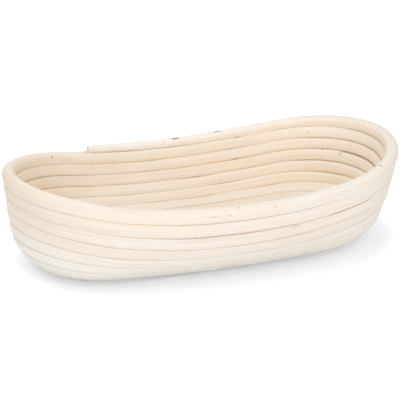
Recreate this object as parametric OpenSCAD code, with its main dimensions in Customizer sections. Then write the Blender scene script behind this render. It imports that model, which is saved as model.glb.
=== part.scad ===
// Oval proofing basket, wound from round rattan cane and fastened with wire staples.
// A base cane is wound flat round a straight core. A second cane is butted to it and goes on
// as the wall, each turn lying on the one below, up to a rim that rises towards both ends.
// Millimetres, +Z up, +X along the basket. The basket stands on z = 0.

/* [Cane] */
// Diameter of the round cane
cane_d = 9.3; // [7:0.1:11]
// Mean gap between one turn and the next
turn_gap = 0.2; // [0:0.05:0.5]
// Whole turns wound round the core
turns = 12; // [9:1:14]
// Turn at which the base cane ends and the wall cane begins
splice_turn = 3.9; // [2.8:0.05:5.8]
// Gap left in the butt joint between the two canes
splice_gap = 0.3; // [0.1:0.05:1]
// Diameter of the cane at the rim end, where it is pared down
tip_d = 5.6; // [5:0.1:9]
// Length of the pared run, in turns
tip_turns = 0.35; // [0.1:0.05:0.7]

/* [Plan] */
// Length of the core between the centres of the round ends of the winding
core_l = 166; // [110:1:240]
// Turn at which the base cane starts, hooked round the left end of the core
start_turn = 0.16; // [0.15:0.01:0.25]
// How far the long sides bow outward at the rim
side_bow = 5.3; // [1:0.1:10]
// Place of the rim end in quarter turns: 0 right tip, 1 middle of the back, 2 left tip
lap_quarter = 1.433; // [1.1:0.001:1.5]
// Quarter turns in which each turn climbs past its own start
climb_quarters = 1; // [0.8:0.05:2]

/* [Wall] */
// Half width of the flat base at the long sides
side_flat = 30.7; // [24:0.1:40]
// Radius of the bend from base to wall at the long sides
side_bend_r = 50.5; // [40:0.5:60]
// Outward lean of the long sides at the rim, in degrees
side_lean = 0; // [-5:0.5:12]
// Flat run of the base past each end of the core
end_flat = 25; // [18:0.1:34]
// Radius of the bend from base to wall at the ends
end_bend_r = 32; // [26:0.5:40]
// Outward lean of the left end at the rim, in degrees
left_lean = 5; // [0:0.5:15]
// Outward lean of the right end at the rim, in degrees
right_lean = 11; // [0:0.5:18]
// How narrow the rise to each end is: 1 is an even wave along the rim
rise_power = 1.5; // [1:0.1:2]

/* [Staples] */
// Length of the crown, along the cane
staple_crown = 7; // [5:0.5:10]
// Length of the legs
staple_leg = 14.5; // [12:0.5:17]
// Width of the flat wire
staple_wire_w = 1.2; // [0.8:0.1:1.6]
// Thickness of the flat wire
staple_wire_t = 0.6; // [0.4:0.05:0.8]
// Staples in each turn below the rim
turn_staples = 8; // [6:1:10]
// Staples in the rim turn
rim_staples = 19; // [12:1:24]
// Inward tilt of the rim staples about the cane, in degrees
rim_staple_tilt = 12; // [0:1:15]

/* [Hidden] */
cane_r = cane_d / 2;
pitch = cane_d + turn_gap;
core_half = core_l / 2;
wall_run = turns * pitch;
// The cane is cut flat underneath by a tenth of its diameter
flat_cut = cane_d / 10;
base_z = cane_r - flat_cut;
// Bow of the long sides on the flat base, where they are all but straight
least_bow = 0.2;
// Sides of the cane's section, and rings of points on each round end and each long side of a turn
cane_sides = 8;
end_rings = 13;
side_rings = 6;
turn_rings = 2 * (end_rings + side_rings);
// A ring is left out where it would crowd the square end of a cane
ring_clear = 0.2 / turn_rings;
// Steps in which the length up the wall is measured, to a little past the rim
meridian_steps = 44;
meridian_reach = 1.12 * wall_run;
// A crown is sunk into the cane's flat by this share of the wire's thickness
crown_sink = 0.3;
crown_top = cane_r * cos(180 / cane_sides) + (1 - crown_sink) * staple_wire_t;
// Place of a turn's first staple past the lap, in steps from staple to staple
staple_shift = 0.3;
staple_stagger = 0.5;
rim_staple_shift = 0.78;
// Quarter turns to each side of the middle of the core in which the first turn is stapled to it
core_side_q = 0.42;

STAPLE_NODES = [for (turn = [1:turns]) str("staples_turn_", turn)];

function unit(v) = v / norm(v);
function quarter(q) = q - 4 * floor(q / 4);
function turn_q(t) = lap_quarter + 4 * t;

// Section of the wall, as [out, up] at a run s from the core: flat base, bend, leaning wall
function profile(s, flat, bend_r, lean) =
    let (bend = 90 - lean)
    let (angle = min(max(s - flat, 0) / bend_r * 180 / PI, bend))
    let (wall = max(s - flat - bend_r * bend * PI / 180, 0))
    [
        min(s, flat) + bend_r * sin(angle) + wall * cos(bend),
        bend_r * (1 - cos(angle)) + wall * sin(bend)
    ];

// Plan oval of four tangent arcs: two round ends, and two long sides that bow outward
function oval(half_l, half_w, bow, q) =
    let (end_r = half_w - bow, centre = half_l - end_r)
    let (drop = (centre * centre - bow * bow) / (2 * bow))
    let (side_r = end_r + norm([centre, drop]), joint = atan2(drop, centre))
    let (turn = quarter(q), half = turn > 2 ? 4 - turn : turn, part = half > 1 ? 2 - half : half)
    let (on_end = part < 0.5)
    let (angle = on_end ? 2 * part * joint : joint + (2 * part - 1) * (90 - joint))
    let (x = on_end ? centre + end_r * cos(angle) : side_r * cos(angle))
    let (y = on_end ? end_r * sin(angle) : side_r * sin(angle) - drop)
    [half > 1 ? -x : x, turn > 2 ? -y : y];

// Point of the wall's middle surface at a run s from the core and at quarter turn q
function wall_point(s, q) =
    let (left = quarter(q) > 1 && quarter(q) < 3)
    let (end = profile(s, end_flat, end_bend_r, left ? left_lean : right_lean))
    let (side = profile(s, side_flat, side_bend_r, side_lean))
    let (bow = max(side_bow * (s - end_flat) / (wall_run - end_flat), least_bow))
    let (rise = pow(0.5 + 0.5 * cos(180 * q), rise_power))
    let (plan = oval(core_half + end[0], side[0], bow, q))
    [plan[0], plan[1], base_z + side[1] + (end[1] - side[1]) * rise];

// Table of [length along the wall's surface, run s] up the wall at quarter turn q
function meridian(q) =
    let (step = meridian_reach / meridian_steps)
    let (points = [for (i = [0:meridian_steps]) wall_point(i * step, q)])
    let (rises = [for (i = [1:meridian_steps]) norm(points[i] - points[i - 1])])
    [
        for (i = 0, up = 0; i <= meridian_steps; up = up + (i < meridian_steps ? rises[i] : 0), i = i + 1)
            [up, i * step]
    ];

// Courses climbed after t turns: each turn climbs one course just after the lap, then runs level
function courses(t) =
    let (climb = min(4 * (t - floor(t)) / climb_quarters, 1))
    floor(t) + climb * climb * (3 - 2 * climb);

// Share of the full diameter that the cane has after t turns
function pared(t) = 1 - (1 - tip_d / cane_d) * max(1 - (turns - t) / tip_turns, 0);

// Centre of the cane after t turns, and the direction up the wall there, as [centre, up]
function coil_at(t) =
    let (q = turn_q(t), s = lookup(pitch * courses(t), meridian(q)))
    let (up = unit(wall_point(s + pitch / 4, q) - wall_point(s - pitch / 4, q)))
    [wall_point(s, q) - up * cane_r * (1 - pared(t)), up];

// The winding is centred on the origin by the middle of its own rim
rim_points = [for (t = [turns - 1:1 / turn_rings:turns]) coil_at(t)[0]];
rim_x = [for (p = rim_points) p[0]];
rim_y = [for (p = rim_points) p[1]];
plan_shift = -[max(rim_x) + min(rim_x), max(rim_y) + min(rim_y), 0] / 2;

// Turns at which the cane has a ring of points, between two turns
ring_quarters = concat(
    [for (i = [0:end_rings - 1]) i / end_rings],
    [for (i = [0:side_rings - 1]) 1 + i / side_rings]
);
function rings_between(t0, t1) =
    let (marks = [for (t = [floor(t0) - 1:ceil(t1)]) for (h = [0, 2]) for (q = ring_quarters)
        t + (h + q - 0.5 - lap_quarter) / 4])
    concat([t0], [for (t = marks) if (t > t0 + ring_clear && t < t1 - ring_clear) t], [t1]);

// Ring of points round the cane, with flats towards the turns above and below
function ring(centre, along, up, r) =
    let (out = unit(cross(along, up)), top = cross(out, along))
    [
        for (i = [0:cane_sides - 1])
            let (angle = (i + 0.5) * 360 / cane_sides)
            let (p = centre + r * (top * cos(angle) + out * sin(angle)))
            [p[0], p[1], max(p[2], 0)]
    ];

function cane_rings(t0, t1) =
    let (ts = rings_between(t0, t1), last = len(ts) - 1)
    let (places = [for (t = ts) coil_at(t)])
    [
        for (i = [0:last])
            let (along = unit(places[min(i + 1, last)][0] - places[max(i - 1, 0)][0]))
            ring(places[i][0] + plan_shift, along, places[i][1], cane_r * pared(ts[i]))
    ];

// Turns that a length of cane takes up after t turns
function turns_for(length, t) =
    let (d = 0.001)
    length * 2 * d / norm(coil_at(t + d)[0] - coil_at(t - d)[0]);

splice_half = turns_for(splice_gap / 2, splice_turn);
base_rings = cane_rings(start_turn, splice_turn - splice_half);
wall_rings = cane_rings(splice_turn + splice_half, turns);

// Least distance from the points of each ring to those of the rings one turn on
function nearest(a, b) = min([for (p = a) for (r = b) norm(p - r)]);
all_rings = concat(base_rings, wall_rings);
turn_gaps = [
    for (i = [0:len(all_rings) - turn_rings - 3])
        for (j = [turn_rings - 1:turn_rings + 2])
            nearest(all_rings[i], all_rings[i + j])
];
echo(least_gap_between_turns = min(turn_gaps));

module tube(rings) {
    last = len(rings) - 1;
    start = [for (i = [1:cane_sides - 2]) [0, i, i + 1]];
    end = [for (f = start) [for (i = [2:-1:0]) f[i] + last * cane_sides]];
    skin = [
        for (i = [0:last - 1]) for (j = [0:cane_sides - 1])
            let (a = i * cane_sides + j, b = i * cane_sides + (j + 1) % cane_sides)
            each [[a, a + cane_sides, b], [b, a + cane_sides, b + cane_sides]]
    ];
    polyhedron([for (r = rings) each r], concat(start, skin, end));
}

module core_cane() {
    color("tan")
    translate(plan_shift)
    difference() {
        translate([-core_half, 0, base_z])
            rotate([0, 90, 0])
            cylinder(d = cane_d, h = core_l, $fn = 32);
        translate([-core_l, -cane_d, -cane_d])
            cube([2 * core_l, 2 * cane_d, cane_d]);
    }
}

module base_cane() {
    color("burlywood")
    tube(base_rings);
}

module wall_cane() {
    color("wheat")
    tube(wall_rings);
}

// One staple, with its crown along X on top and its legs down Z
module staple() {
    half = staple_crown / 2;
    inner = half - staple_wire_t;
    foot = crown_top - staple_leg;
    under = crown_top - staple_wire_t;
    translate([0, staple_wire_w / 2, 0])
        rotate([90, 0, 0])
        linear_extrude(staple_wire_w)
        polygon([
            [-half, crown_top], [half, crown_top], [half, foot], [inner, foot + staple_wire_t],
            [inner, under], [-inner, under], [-inner, foot + staple_wire_t], [-half, foot]
        ]);
}

// Turns at which a course is stapled. The first course holds to the sides of the core, and a
// staple elsewhere needs a turn of cane below it.
function staple_turns(turn) =
    let (rim = turn == turns, n = rim ? rim_staples : turn_staples)
    let (shift = rim ? rim_staple_shift : staple_shift + staple_stagger * (turn % 2))
    [
        for (i = [0:n - 1])
            let (t = turn - 1 + (i + shift) / n, side = abs(quarter(turn_q(t)) % 2 - 1) < core_side_q)
            if (t > 1 + climb_quarters / 4 || (t > start_turn && t < 1 && side)) t
    ];

module staples(turn) {
    color("dimgray")
    for (t = staple_turns(turn)) {
        place = coil_at(t);
        along = unit(coil_at(t + 1 / turn_rings / 4)[0] - coil_at(t - 1 / turn_rings / 4)[0]);
        inward = unit(cross(place[1], along));
        up = cross(along, inward);
        at = place[0] + plan_shift - up * cane_r * (1 - pared(t));
        multmatrix([
            [along[0], inward[0], up[0], at[0]],
            [along[1], inward[1], up[1], at[1]],
            [along[2], inward[2], up[2], at[2]],
            [0, 0, 0, 1]
        ])
            rotate([turn == turns ? -rim_staple_tilt : 0, 0, 0])
            staple();
    }
}

core_cane();
base_cane();
wall_cane();
for (turn = [1:turns])
    staples(turn);
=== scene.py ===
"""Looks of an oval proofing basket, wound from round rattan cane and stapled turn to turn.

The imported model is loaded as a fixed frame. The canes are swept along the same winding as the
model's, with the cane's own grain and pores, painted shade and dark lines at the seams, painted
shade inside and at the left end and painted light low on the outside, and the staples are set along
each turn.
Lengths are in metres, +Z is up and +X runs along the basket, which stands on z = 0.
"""

import inspect
import math

import bpy
import numpy as np
from bpy.props import FloatProperty, FloatVectorProperty, IntProperty, PointerProperty
from mathutils import Matrix, Vector


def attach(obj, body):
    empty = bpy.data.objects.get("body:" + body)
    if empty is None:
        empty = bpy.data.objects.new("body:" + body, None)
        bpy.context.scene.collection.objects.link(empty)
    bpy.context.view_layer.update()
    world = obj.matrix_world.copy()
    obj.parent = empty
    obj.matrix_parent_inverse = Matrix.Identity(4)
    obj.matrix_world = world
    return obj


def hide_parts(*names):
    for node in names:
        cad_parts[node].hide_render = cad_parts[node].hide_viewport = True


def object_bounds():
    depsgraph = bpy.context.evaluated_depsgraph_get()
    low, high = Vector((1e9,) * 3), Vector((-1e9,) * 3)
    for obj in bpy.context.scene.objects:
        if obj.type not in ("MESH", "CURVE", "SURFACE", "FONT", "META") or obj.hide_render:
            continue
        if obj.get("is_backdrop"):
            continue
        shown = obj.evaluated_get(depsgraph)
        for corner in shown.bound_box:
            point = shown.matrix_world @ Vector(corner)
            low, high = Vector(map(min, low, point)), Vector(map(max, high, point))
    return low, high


bl_info = {
    "name": "Oval Proofing Basket",
    "version": (1, 0, 0),
    "blender": (4, 5, 0),
    "location": "3D View > Sidebar > Basket",
    "description": "Builds the canes, staples and stage of a wound rattan proofing basket",
    "category": "Object",
}

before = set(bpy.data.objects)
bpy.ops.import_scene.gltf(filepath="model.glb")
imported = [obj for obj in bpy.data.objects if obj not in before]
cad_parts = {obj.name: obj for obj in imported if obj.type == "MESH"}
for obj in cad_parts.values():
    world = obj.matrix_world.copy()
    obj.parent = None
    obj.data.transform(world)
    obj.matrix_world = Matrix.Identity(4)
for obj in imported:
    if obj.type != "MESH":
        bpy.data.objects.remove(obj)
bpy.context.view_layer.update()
BODY = "root"


# Settings that a user may change


def maker(kind, **traits):
    """A maker of settings of one kind, each with its name, its description and its default."""

    def make(name, description, default):
        return kind(name=name, description=description, default=default, **traits)

    return make


length = maker(FloatProperty, unit="LENGTH", subtype="DISTANCE", precision=5)
angle = maker(FloatProperty, unit="ROTATION", subtype="ANGLE")
share = maker(FloatProperty, min=0.0, max=1.0, subtype="FACTOR")
plain = maker(FloatProperty, precision=4)
power = maker(FloatProperty, unit="POWER")
focal = maker(FloatProperty, unit="CAMERA")
count = maker(IntProperty)
point = maker(FloatVectorProperty, size=3, subtype="XYZ", precision=5)
colour = maker(FloatVectorProperty, size=3, min=0.0, max=1.0, subtype="COLOR")


class WindingSizes(bpy.types.PropertyGroup):
    """Sizes of the winding, the same as the model's but for the back rise."""

    cane_d: length("Cane diameter", "Diameter of the round cane", 0.0093)
    turn_gap: length("Turn gap", "Mean gap between one turn and the next", 0.0002)
    turns: count("Turns", "Whole turns wound round the core", 12)
    splice_turn: plain("Splice turn", "Turn at which the base cane ends and the wall cane begins", 3.9)
    splice_gap: length("Splice gap", "Gap in the butt joint between the two canes", 0.0003)
    tip_d: length("Rim end diameter", "Diameter of the cane at the rim end, where it is pared down", 0.0056)
    tip_turns: plain("Pared run", "Length of the pared run, in turns", 0.35)
    foot_cut: share("Foot cut", "Share of the cane's diameter that is cut flat underneath", 0.1)
    core_l: length("Core length", "Length of the straight core", 0.166)
    start_turn: plain("Start turn", "Turn at which the base cane starts at the left end of the core", 0.16)
    side_bow: length("Side bow", "How far the long sides bow outward at the rim", 0.0053)
    least_bow: length("Least bow", "Bow of the long sides on the flat base", 0.0002)
    lap_quarter: plain("Rim end place", "Place of the rim end, in quarter turns from the right tip", 1.433)
    climb_quarters: plain("Climb", "Quarter turns in which each turn climbs past its own start", 1.0)
    side_flat: length("Side flat", "Half width of the flat base at the long sides", 0.0307)
    side_bend_r: length("Side bend", "Radius of the bend from base to wall at the long sides", 0.0505)
    side_lean: angle("Side lean", "Outward lean of the long sides at the rim", 0.0)
    end_flat: length("End flat", "Flat run of the base past each end of the core", 0.025)
    end_bend_r: length("End bend", "Radius of the bend from base to wall at the ends", 0.032)
    left_lean: angle("Left lean", "Outward lean of the left end at the rim", math.radians(5.0))
    right_lean: angle("Right lean", "Outward lean of the right end at the rim", math.radians(11.0))
    rise_power: plain("Rise", "How narrow the rise of the rim to each end is", 1.5)
    back_rise: length("Back rise", "How much higher the rim is wound at the back of the right end", 0.0015)


class CaneLooks(bpy.types.PropertyGroup):
    """How the real cane departs from a plain tube, and its finish."""

    cane_fill: share("Fill", "Share of the pitch that the cane fills, so that turns all but touch", 0.997)
    inner_crown: share("Inner crown", "How far the inner face falls back at the seams, in radii", 0.25)
    outer_crown: share("Outer crown", "The same for the outer face, along the long sides", 0.09)
    end_crown: share("End crown", "The same for the outer face, at the two ends", 0.21)
    inner_crowding: plain("Inner crowding", "How closely the inner points crowd towards the seams", 1.15)
    outer_crowding: plain("Outer crowding", "How closely the outer points crowd towards the seams", 1.4)
    crown_power: plain("Crown shape", "Curve across a face: higher is flatter in the middle", 2.4)
    step: length("Step", "Length of cane from one ring of points to the next", 0.0034)
    sides: count("Sides", "Points round the cane", 40)
    sway: length("Sway", "How far a turn strays in or out of the wall", 0.0003)
    swell: share("Swell", "How much the cane's thickness changes along it", 0.011)
    unevenness: length("Unevenness", "Depth of the small dips in the cane's surface", 0.00014)
    cut_round: length("Cut rounding", "Rounding of the edge of a sawn end", 0.0009)
    first_dent: length("First dent", "Depth of the dent over the first rim crown that shows", 0.00060)
    last_dent: length("Last dent", "Depth of the dent over the last rim crown that shows", 0.00074)
    pale: colour("Pale cane", "Main colour of the peeled cane", (0.955, 0.886, 0.783))
    warm: colour("Warm cane", "Warmer colour of the peeled cane", (0.955, 0.835, 0.685))
    peach: colour("Peach streaks", "Colour of the broad warm streaks", (0.945, 0.760, 0.580))
    # The cream colour also paints light: the paler lower outside, as if lit from below
    cream: colour("Cream streaks", "Colour of the broad pale streaks", (0.962, 0.928, 0.868))
    fibre: colour("Fibre", "Colour of the darker fibres", (0.620, 0.430, 0.235))
    # The pore colour also paints shade: the slightly darker outside, the thin seam lines and the shadows of
    # open gaps
    pore: colour("Pore", "Colour of the pores and flecks", (0.230, 0.120, 0.050))
    # The seam colour is painted warm shade, laid on the cane towards each seam between two turns
    seam: colour("Seam", "Colour of the cane in the seam between two turns", (0.840, 0.610, 0.380))
    cut: colour("Cut", "Colour of a sawn end", (0.800, 0.640, 0.450))
    roughness: share("Roughness", "Roughness of the peeled cane", 0.56)


class StapleSizes(bpy.types.PropertyGroup):
    """Sizes and places of the wire staples, and their finish."""

    crown: length("Crown", "Length of the crown, along the cane", 0.007)
    leg: length("Leg", "Length of the legs", 0.0145)
    wire_w: length("Wire width", "Width of the flat wire", 0.0012)
    wire_t: length("Wire thickness", "Thickness of the flat wire", 0.0006)
    bend_r: length("Shoulder", "Radius of the bend from crown to leg", 0.0007)
    turn_staples: count("Staples per turn", "Staples in each turn below the rim", 8)
    rim_staples: count("Rim staples", "Staples in the rim turn", 19)
    turn_shift: plain("First staple", "Place of a turn's first staple past the lap, in staple steps", 0.3)
    turn_stagger: plain("Stagger", "Shift of every other turn, in staple steps", 0.5)
    rim_shift: plain("First rim staple", "Place of the rim's first staple past the lap, in steps", 0.78)
    rim_tilt: angle("Rim tilt", "Inward tilt of the rim staples about the cane", math.radians(12.0))
    shown_first: count("First shown", "First rim staple whose crown shows", 15)
    shown_last: count("Last shown", "Last rim staple whose crown shows", 16)
    driven: length("Driven", "How far a crown lies under the top of the cane", 0.00035)
    core_side: plain("Core side", "Quarter turns along the core in which the first turn is stapled", 0.42)
    wire: colour("Wire", "Colour of the drawn wire", (0.460, 0.440, 0.425))
    rust: colour("Tarnish", "Colour of the tarnish on the wire", (0.120, 0.075, 0.050))


class StageLooks(bpy.types.PropertyGroup):
    """Floor, light and camera."""

    floor_size: length("Floor", "Width of the floor", 6.0)
    floor_gap: length("Floor gap", "Hair's breadth between the floor and the basket's foot", 0.0001)
    floor: colour("Floor colour", "Colour of the paper floor", (0.900, 0.930, 0.972))
    floor_glow: share("Floor glow", "Light that the camera sees on the floor beside what falls on it", 0.255)
    far_glow: share("Far glow", "The same, well away from the basket", 0.42)
    glow_from: length("Glow from", "Distance from the basket's middle at which the far glow begins", 0.142)
    glow_to: length("Glow to", "Distance from the basket's middle at which the far glow is full", 0.166)
    glow_narrow: plain("Glow shape", "How many times nearer the far glow is across than along", 1.5)
    fill: plain("Fill light", "Strength of the even light all round", 0.62)
    key_power: power("Key light", "Power of the soft lamp overhead", 4.4)
    key_size: length("Key size", "Width of the soft lamp overhead", 1.3)
    key_place: point("Key place", "Centre of the soft lamp overhead", (-0.38, 0.00, 1.25))
    front_power: power("Front light", "Power of the broad lamp in front", 5.3)
    front_size: length("Front size", "Width of the broad lamp in front", 1.2)
    front_place: point("Front place", "Centre of the broad lamp in front", (-0.16, -1.42, 0.60))
    low_power: power("Low light", "Power of the small lamp close to the floor in front", 1.35)
    low_size: length("Low size", "Width of the small lamp close to the floor in front", 0.3)
    low_place: point("Low place", "Centre of the small lamp close to the floor", (-0.30, -1.30, 0.17))
    camera_azimuth: angle("Azimuth", "Camera's turn about the basket", math.radians(-19.191))
    camera_elevation: angle("Elevation", "Camera's height over the horizon", math.radians(21.297))
    camera_roll: angle("Roll", "Camera's roll", math.radians(0.35))
    camera_distance: length("Distance", "Camera's distance from the point it looks at", 0.87336)
    camera_lens: focal("Lens", "Focal length of the camera", 103.391)
    camera_frame: focal("Frame", "Width of the frame that the focal length is for", 36.0)
    camera_near: length("Near", "Distance at which the camera begins to see", 0.01)
    camera_aim: point("Aim", "Point the camera looks at", (-0.001118, 0.007192, 0.034))


# Stretches of the wall where the seam under a turn is painted with the dark shadow of an open gap: first
# turn, last turn, depth, and side, which is 1 for the outside and -1 for the inside
DARK_SEAMS = (
    (8.853, 8.870, 0.50, -1),
    (9.616, 9.686, 0.80, -1),
    (9.799, 9.812, 0.80, -1),
    (10.300, 10.490, 0.08, 1),
    (10.494, 10.546, 0.60, 1),
    (10.805, 10.815, 0.80, -1),
    (11.797, 11.809, 0.85, -1),
)

# Small dark marks on the wall cane: turn, height and side as shares of the radius, length, width, depth
WALL_MARKS = (
    (8.203, -0.66, 1.0, 0.0014, 0.0008, 0.45),
    (8.685, 0.48, -1.0, 0.0024, 0.0006, 0.70),
    (8.705, 0.84, -1.0, 0.0012, 0.0006, 0.70),
    (9.267, -0.82, 1.0, 0.0009, 0.0006, 0.50),
    (9.455, 0.75, 1.0, 0.0060, 0.0020, 0.16),
    (10.724, -0.10, -1.0, 0.0010, 0.0007, 0.65),
    (10.971, -0.66, -1.0, 0.0010, 0.0007, 0.55),
    (11.046, 0.38, -1.0, 0.0008, 0.0016, 0.85),
    (11.360, 0.00, 1.0, 0.0050, 0.0003, 0.40),
    (11.377, 0.02, 1.0, 0.0011, 0.0006, 0.55),
    (11.389, 0.85, 0.5, 0.0008, 0.0006, 0.55),
    (11.557, 0.99, 0.0, 0.0010, 0.0007, 0.50),
    (11.899, 0.37, -1.0, 0.0008, 0.0006, 0.50),
)


# The winding

QUARTERS = 4

# Points at which a turn, the rim and the section up the wall are worked out
TURN_STEPS = 500
RIM_STEPS = 400
SECTION_STEPS = 60

# How far the section is worked out, in runs from the core to the rim
SECTION_REACH = 1.12

# Quarter turns from the right tip between which the back rise sets in, and between which it ends
BACK_RISE_IN = (-0.4, 0.05)
BACK_RISE_OUT = (1.0, 0.65)


def way(x, low, high):
    """How far x is on the way from low to high, held between 0 and 1."""
    return np.clip((x - low) / (high - low), 0.0, 1.0)


def eased(x):
    """A share from 0 to 1, with a smooth start and end."""
    return x * x * (3 - 2 * x)


def mixed(factor, a, b):
    """A number on the way from a to b, also where the three are values of a node tree."""
    return a + factor * (b - a)


def unit(v):
    """Vectors at length 1."""
    return v / np.linalg.norm(v, axis=-1, keepdims=True)


def quarter(q):
    """A place round the oval, from 0 at the right tip up to 4."""
    return np.mod(q, QUARTERS)


def wall_section(s, flat, bend_r, lean):
    """Out and up at a run s from the core: flat base, bend, leaning wall."""
    bend = math.pi / 2 - lean
    turned = np.clip((s - flat) / bend_r, 0.0, bend)
    straight = np.maximum(s - flat - bend_r * bend, 0.0)
    out = np.minimum(s, flat) + bend_r * np.sin(turned) + straight * np.cos(bend)
    up = bend_r * (1 - np.cos(turned)) + straight * np.sin(bend)
    return out, up


def oval(half_l, half_w, bow, q):
    """Plan oval of four tangent arcs: two round ends, and two long sides that bow outward."""
    end_r = half_w - bow
    centre = half_l - end_r
    drop = (centre**2 - bow**2) / (2 * bow)
    side_r = end_r + np.hypot(centre, drop)
    joint = np.arctan2(drop, centre)
    turn = quarter(q)
    half = np.where(turn > 2, QUARTERS - turn, turn)
    part = np.where(half > 1, 2 - half, half)
    on_end = part < 0.5
    arc = np.where(on_end, 2 * part * joint, joint + (2 * part - 1) * (math.pi / 2 - joint))
    x = np.where(on_end, centre + end_r * np.cos(arc), side_r * np.cos(arc))
    y = np.where(on_end, end_r * np.sin(arc), side_r * np.sin(arc) - drop)
    return np.where(half > 1, -x, x), np.where(turn > 2, -y, y)


def lengths_of(points):
    """Length along a line of points, at each of them."""
    steps = np.linalg.norm(np.diff(points, axis=0), axis=1)
    return np.concatenate([[0.0], np.cumsum(steps)])


class Winding:
    """The line that the middle of the cane follows, from the basket's sizes."""

    def __init__(self, size):
        self.size = size
        self.cane_r = size.cane_d / 2
        self.pitch = size.cane_d + size.turn_gap
        self.base_z = self.cane_r - size.cane_d * size.foot_cut
        self.wall_run = size.turns * self.pitch
        self.shift = np.zeros(3)
        rim = self.place(np.linspace(size.turns - 1, size.turns, RIM_STEPS))[0]
        middle = (rim.max(axis=0) + rim.min(axis=0)) / 2
        self.shift = np.array([-middle[0], -middle[1], 0.0])

    def quarters(self, t):
        """Quarter turns from the right tip after t turns."""
        return self.size.lap_quarter + QUARTERS * t

    def at_ends(self, q):
        """1 at the two tips of the oval, falling to 0 at the middle of each long side."""
        return (0.5 + 0.5 * np.cos(math.pi * q)) ** self.size.rise_power

    def wall(self, s, q):
        """Points of the wall's middle surface at runs s from the core and quarter turns q."""
        size = self.size
        left = (quarter(q) > 1) & (quarter(q) < 3)
        left_out, left_up = wall_section(s, size.end_flat, size.end_bend_r, size.left_lean)
        right_out, right_up = wall_section(s, size.end_flat, size.end_bend_r, size.right_lean)
        side_out, side_up = wall_section(s, size.side_flat, size.side_bend_r, size.side_lean)
        end_out = np.where(left, left_out, right_out)
        end_up = np.where(left, left_up, right_up)
        climbed = (s - size.end_flat) / (self.wall_run - size.end_flat)
        bow = np.maximum(size.side_bow * climbed, size.least_bow)
        x, y = oval(size.core_l / 2 + end_out, side_out, bow, q)
        return np.stack([x, y, self.base_z + mixed(self.at_ends(q), side_up, end_up)], axis=-1)

    def run(self, t, q):
        """Runs s from the core after t turns, so that turns lie evenly up the wall's surface."""
        climb = np.minimum(QUARTERS * (t - np.floor(t)) / self.size.climb_quarters, 1.0)
        climbed = self.pitch * (np.floor(t) + eased(climb))
        marks = np.linspace(0.0, SECTION_REACH * self.wall_run, SECTION_STEPS)
        grid = self.wall(marks[None, :], q[:, None])
        rises = np.linalg.norm(np.diff(grid, axis=1), axis=2)
        heights = np.concatenate([np.zeros((len(q), 1)), np.cumsum(rises, axis=1)], axis=1)
        return np.array([np.interp(c, h, marks) for c, h in zip(climbed, heights)])

    def pared(self, t):
        """Share of the full diameter that the cane has after t turns."""
        size = self.size
        return 1 - (1 - size.tip_d / size.cane_d) * np.maximum(1 - (size.turns - t) / size.tip_turns, 0.0)

    def raised(self, t):
        """Share of the back rise after t turns: full from the right tip to the back of the right end."""
        q = quarter(self.quarters(t) + 2) - 2
        return eased(np.minimum(way(q, *BACK_RISE_IN), way(q, *BACK_RISE_OUT)))

    def place(self, t):
        """Middle of the cane after t turns, and the direction up the wall there."""
        q = self.quarters(t)
        s = self.run(t, q)
        nearby = self.pitch / 4
        up = unit(self.wall(s + nearby, q) - self.wall(s - nearby, q))
        drop = self.cane_r * (1 - self.pared(t))
        points = self.wall(s, q) - up * drop[:, None] + self.shift
        points[:, 2] += self.size.back_rise * self.raised(t) * s / self.wall_run
        return points, up

    def measured(self, t0, t1):
        """Close turns from t0 to t1, and the length of cane wound up to each of them."""
        fine = np.linspace(t0, t1, int(TURN_STEPS * (t1 - t0)))
        return fine, lengths_of(self.place(fine)[0])

    def filled_r(self, looks):
        """Radius of a cane that all but touches the turns beside it."""
        return self.pitch / 2 * looks.cane_fill


# Middle lines of the canes, with what the sweep and the finish read at each point

# Spans of the waves that are summed to a slow one, the steps of their phases, and the sum's height
WAVE_SPANS = (0.047, 0.083, 0.139, 0.231)
WAVE_SEED_STEP = 1.7
WAVE_SPAN_STEP = 2.3
WAVE_HEIGHT = 2.6

# How much quicker the swell changes than the sway, and the step between their seeds
SWELL_PACE = 1.7
SWELL_SEED = 5

# Rings at a sawn end, in roundings of its edge, and where the even rings begin
END_RINGS = np.array([0.0, 0.1, 0.25, 0.5, 0.8, 1.3])
EVEN_RINGS_FROM = 4

# Turns in which a painted gap shadow in a seam fades out, and in which the top of the rim comes free
SEAM_FADE = 0.003
FREE_TURNS = 0.02

# Distances along the cane from a crown that shows at which its dent begins to rise, and ends
DENT_RISE = (0.0018, 0.0058)

# Turns between which a change up or down the wall sets in and is full
UPPER_TURNS = (9.2, 10.8)
LOWER_TURNS = (8.5, 5.5)
BASE_TURNS = (6.0, 4.5)
WARM_TURNS = (7.0, 9.0)

# How sharply the left end sets in round the oval
LEFT_SLOPE = 0.8

# Depth of the painted shade and dark line in the outer seams everywhere, and what is added at the left end,
# high up and low down
OUTER_SEAM = 0.01
LEFT_SEAM = 0.13
UPPER_SEAM = 0.07
LOWER_SEAM = 0.03
CORE_SEAM = 0.4

# A distance well past all that reads the way to a rim crown
FAR_AWAY = 1.0


def slow_wave(x, seed):
    """A smooth uneven wave between about -1 and 1 along a length, the same each time."""
    wave = np.zeros_like(x)
    for i, span in enumerate(WAVE_SPANS):
        wave += np.sin(2 * math.pi * x / span + WAVE_SEED_STEP * seed + WAVE_SPAN_STEP * i * i)
    return wave / WAVE_HEIGHT


def ring_lengths(total, looks):
    """Lengths along a cane at which it has a ring: even steps, and close ones at its two sawn ends."""
    close = looks.cut_round * END_RINGS
    inset = looks.cut_round * EVEN_RINGS_FROM
    inner = np.linspace(inset, total - inset, max(int(total / looks.step), 2))
    return np.concatenate([close, inner, total - close[::-1]])


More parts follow.
